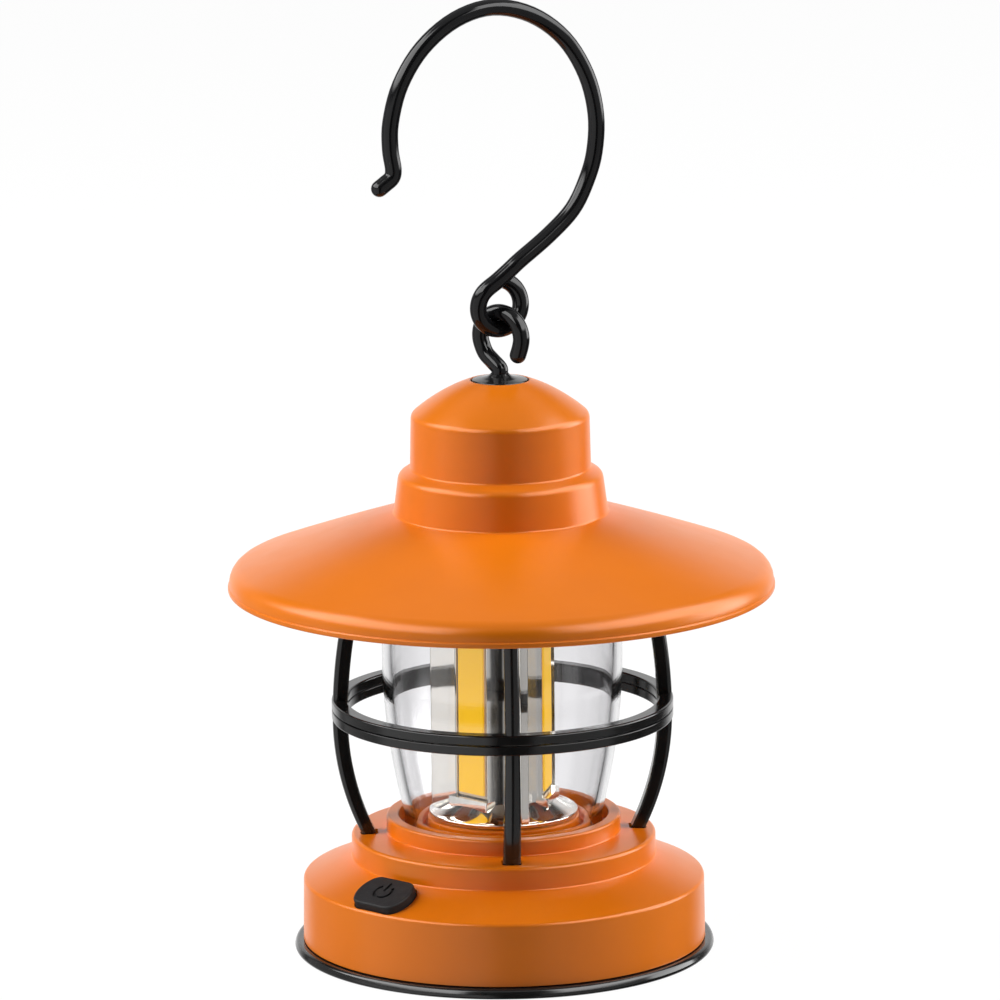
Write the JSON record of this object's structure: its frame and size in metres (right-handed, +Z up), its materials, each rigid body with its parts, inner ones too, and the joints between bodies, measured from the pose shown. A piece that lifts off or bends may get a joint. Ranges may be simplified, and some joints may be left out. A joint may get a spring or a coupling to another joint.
{
  "type": "camping lantern",
  "caption": "Retro battery camping lantern: wide-brimmed shade, caged clear globe round a three-sided LED reflector, round base with a power button, and a swivelling hanging hook.",
  "frame": {"origin": "middle of the foot, on the surface that the lantern stands on", "axes": "+Z up through the shade, globe and hook; -Y is the front, with the power button to the front left"},
  "size_m": [0.1302, 0.1302, 0.2293],
  "materials": {
    "orange_plastic": "satin moulded orange plastic with a fine grain",
    "black_plastic": "glossy black moulded plastic",
    "black_wire": "glossy black coated steel wire",
    "button_rubber": "matt black silicone rubber",
    "gasket_rubber": "matt black rubber",
    "clear_globe": "clear, thick walled",
    "reflector_chrome": "vacuum-plated mirror finish",
    "led_phosphor": "yellow phosphor gel",
    "led_board": "cream solder mask",
    "white_plastic": "white moulded plastic",
    "tray_plastic": "black moulded plastic",
    "circuit_board": "green solder mask",
    "cell_jacket": "plain shrink jacket",
    "steel": "plated steel",
    "lead_red": "red insulation",
    "lead_black": "black insulation"
  },
  "bodies": {
    "lantern": {"base_housing": "orange_plastic", "shade": "orange_plastic", "bottom_cover": "black_plastic", "cage_lower": "black_plastic", "cage_upper": "black_plastic", "flange_disc": "black_plastic", "globe_gasket_lower": "gasket_rubber", "globe_gasket_upper": "gasket_rubber", "globe": "clear_globe", "reflector": "reflector_chrome", "led_phosphor_1": "led_phosphor", "led_phosphor_2": "led_phosphor", "led_phosphor_3": "led_phosphor", "led_board_1": "led_board", "led_board_2": "led_board", "led_board_3": "led_board", "reflector_cap": "white_plastic", "ceiling_plate": "white_plastic", "battery_tray": "tray_plastic", "switch_body": "tray_plastic", "driver_chip": "tray_plastic", "driver_board": "circuit_board", "switch_board": "circuit_board", "battery_cell_1": "cell_jacket", "battery_cell_2": "cell_jacket", "battery_cell_3": "cell_jacket", "contact_plate_1": "steel", "contact_plate_2": "steel", "contact_plate_3": "steel", "contact_plate_4": "steel", "contact_spring_1": "steel", "contact_spring_2": "steel", "contact_spring_3": "steel", "cover_screw_1": "steel", "cover_screw_2": "steel", "cover_screw_3": "steel", "cover_screw_4": "steel", "board_screw_1": "steel", "board_screw_2": "steel", "shade_screw_1": "steel", "shade_screw_2": "steel", "shade_screw_3": "steel", "shade_screw_4": "steel", "tie_rod": "steel", "tie_rod_nut": "steel", "battery_lead_positive": "lead_red", "led_lead_positive": "lead_red", "battery_lead_negative": "lead_black", "led_lead_negative": "lead_black"},
    "battery_hatch": {"battery_door": "black_plastic"},
    "button": {"power_button": "button_rubber", "switch_plunger": "white_plastic"},
    "swivel": {"eye_bolt": "black_wire", "swivel_washer": "steel", "swivel_nut": "steel"},
    "hook": {"hanging_hook": "black_wire"}
  },
  "joints": [
    {"name": "battery_door_hinge", "type": "hinge", "parent": "lantern", "child": "battery_hatch", "pos_m": [0, 0.02395, 0.0018], "axis": [1, 0, 0], "range_deg": [0, 95]},
    {"name": "power_button_press", "type": "slide", "parent": "lantern", "child": "button", "axis": [0.2629, 0.2971, -0.9179], "range_m": [0, 0.001], "stiffness_N_per_m": 300},
    {"name": "eye_swivel", "type": "hinge", "parent": "lantern", "child": "swivel", "pos_m": [0, 0, 0.139], "axis": [0, 0, 1], "continuous": true},
    {"name": "hook_swing", "type": "hinge", "parent": "swivel", "child": "hook", "pos_m": [0, 0, 0.1545], "axis": [0.7071, -0.7071, 0], "range_deg": [-99, 106]}
  ]
}
